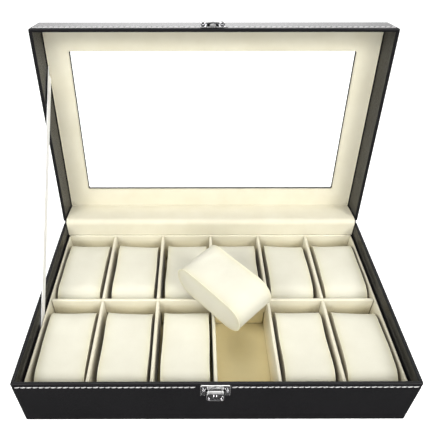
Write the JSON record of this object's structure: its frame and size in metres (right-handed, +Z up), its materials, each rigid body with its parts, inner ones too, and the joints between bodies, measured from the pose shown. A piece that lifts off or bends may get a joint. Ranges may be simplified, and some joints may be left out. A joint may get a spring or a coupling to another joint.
{
  "type": "watch box",
  "caption": "Rectangular leatherette watch box with a hinged window lid, a front latch, a lined tray of divided slots and removable velvet watch pillows.",
  "frame": {"origin": "centre of the base's underside, where the box stands on a table", "axes": "+X along the long side, -Y out of the front face with the latch, +Z up"},
  "size_m": [0.3012, 0.2392, 0.238],
  "materials": {
    "leatherette": "black pebble-grain leatherette over board",
    "velvet_lining": "cream short-pile velvet over board",
    "pillow_velvet": "ivory short-pile velvet",
    "satin": "white satin ribbon",
    "chrome": "polished",
    "glass": "clear"
  },
  "bodies": {
    "base": {"base_front_board": "leatherette", "base_back_board": "leatherette", "base_left_board": "leatherette", "base_right_board": "leatherette", "base_bottom_board": "leatherette", "back_leather_hinge": "leatherette", "floor_lining": "velvet_lining", "front_lining": "velvet_lining", "back_lining": "velvet_lining", "left_lining": "velvet_lining", "right_lining": "velvet_lining", "cross_divider": "velvet_lining", "column_divider_1": "velvet_lining", "column_divider_2": "velvet_lining", "column_divider_3": "velvet_lining", "column_divider_4": "velvet_lining", "column_divider_5": "velvet_lining", "hinge_lining_cloth": "velvet_lining", "stay_ribbon": "satin", "latch_plate": "chrome", "latch_pin": "chrome", "latch_screw_left": "chrome", "latch_screw_right": "chrome"},
    "lid": {"lid_front_board": "leatherette", "lid_back_board": "leatherette", "lid_left_board": "leatherette", "lid_right_board": "leatherette", "lid_top_panel": "leatherette", "lid_frame_lining": "velvet_lining", "window_pane": "glass", "catch_plate": "chrome", "catch_screw_left": "chrome", "catch_screw_right": "chrome"},
    "latch_lever_body": {"latch_lever": "chrome"},
    "pillow_back_1_body": {"pillow_back_1": "pillow_velvet"},
    "pillow_back_2_body": {"pillow_back_2": "pillow_velvet"},
    "pillow_back_3_body": {"pillow_back_3": "pillow_velvet"},
    "pillow_back_4_body": {"pillow_back_4": "pillow_velvet"},
    "pillow_back_5_body": {"pillow_back_5": "pillow_velvet"},
    "pillow_back_6_body": {"pillow_back_6": "pillow_velvet"},
    "pillow_front_1_body": {"pillow_front_1": "pillow_velvet"},
    "pillow_front_2_body": {"pillow_front_2": "pillow_velvet"},
    "pillow_front_3_body": {"pillow_front_3": "pillow_velvet"},
    "pillow_front_5_body": {"pillow_front_5": "pillow_velvet"},
    "pillow_front_6_body": {"pillow_front_6": "pillow_velvet"},
    "pillow_loose_body": {"pillow_loose": "pillow_velvet"}
  },
  "joints": [
    {"name": "lid_hinge", "type": "hinge", "parent": "base", "child": "lid", "pos_m": [0, 0.09205, 0.051], "axis": [-1, 0, 0], "range_deg": [-96.9, 0], "deforming": ["back_leather_hinge", "hinge_lining_cloth", "stay_ribbon"]},
    {"name": "latch_lever_hinge", "type": "hinge", "parent": "base", "child": "latch_lever_body", "pos_m": [-0.001, -0.09525, 0.0453], "axis": [-1, 0, 0], "range_deg": [0, 180]},
    {"name": "pillow_back_1_lift", "type": "slide", "parent": "base", "child": "pillow_back_1_body", "axis": [0, 0, 1], "range_m": [0, 0.06]},
    {"name": "pillow_back_2_lift", "type": "slide", "parent": "base", "child": "pillow_back_2_body", "axis": [0, 0, 1], "range_m": [0, 0.06]},
    {"name": "pillow_back_3_lift", "type": "slide", "parent": "base", "child": "pillow_back_3_body", "axis": [0, 0, 1], "range_m": [0, 0.06]},
    {"name": "pillow_back_4_lift", "type": "slide", "parent": "base", "child": "pillow_back_4_body", "axis": [0, 0, 1], "range_m": [0, 0.06]},
    {"name": "pillow_back_5_lift", "type": "slide", "parent": "base", "child": "pillow_back_5_body", "axis": [0, 0, 1], "range_m": [0, 0.06]},
    {"name": "pillow_back_6_lift", "type": "slide", "parent": "base", "child": "pillow_back_6_body", "axis": [0, 0, 1], "range_m": [0, 0.06]},
    {"name": "pillow_front_1_lift", "type": "slide", "parent": "base", "child": "pillow_front_1_body", "axis": [0, 0, 1], "range_m": [0, 0.06]},
    {"name": "pillow_front_2_lift", "type": "slide", "parent": "base", "child": "pillow_front_2_body", "axis": [0, 0, 1], "range_m": [0, 0.06]},
    {"name": "pillow_front_3_lift", "type": "slide", "parent": "base", "child": "pillow_front_3_body", "axis": [0, 0, 1], "range_m": [0, 0.06]},
    {"name": "pillow_front_5_lift", "type": "slide", "parent": "base", "child": "pillow_front_5_body", "axis": [0, 0, 1], "range_m": [0, 0.06]},
    {"name": "pillow_front_6_lift", "type": "slide", "parent": "base", "child": "pillow_front_6_body", "axis": [0, 0, 1], "range_m": [0, 0.06]},
    {"name": "pillow_loose_lift", "type": "slide", "parent": "base", "child": "pillow_loose_body", "axis": [0, 0, 1], "range_m": [0, 0.12]}
  ],
  "couplings": [
    {"joint": "pillow_back_3_lift", "follows": "pillow_loose_lift", "ratio": 0.5},
    {"joint": "pillow_back_4_lift", "follows": "pillow_loose_lift", "ratio": 0.5},
    {"joint": "pillow_front_3_lift", "follows": "pillow_loose_lift", "ratio": 0.5}
  ]
}
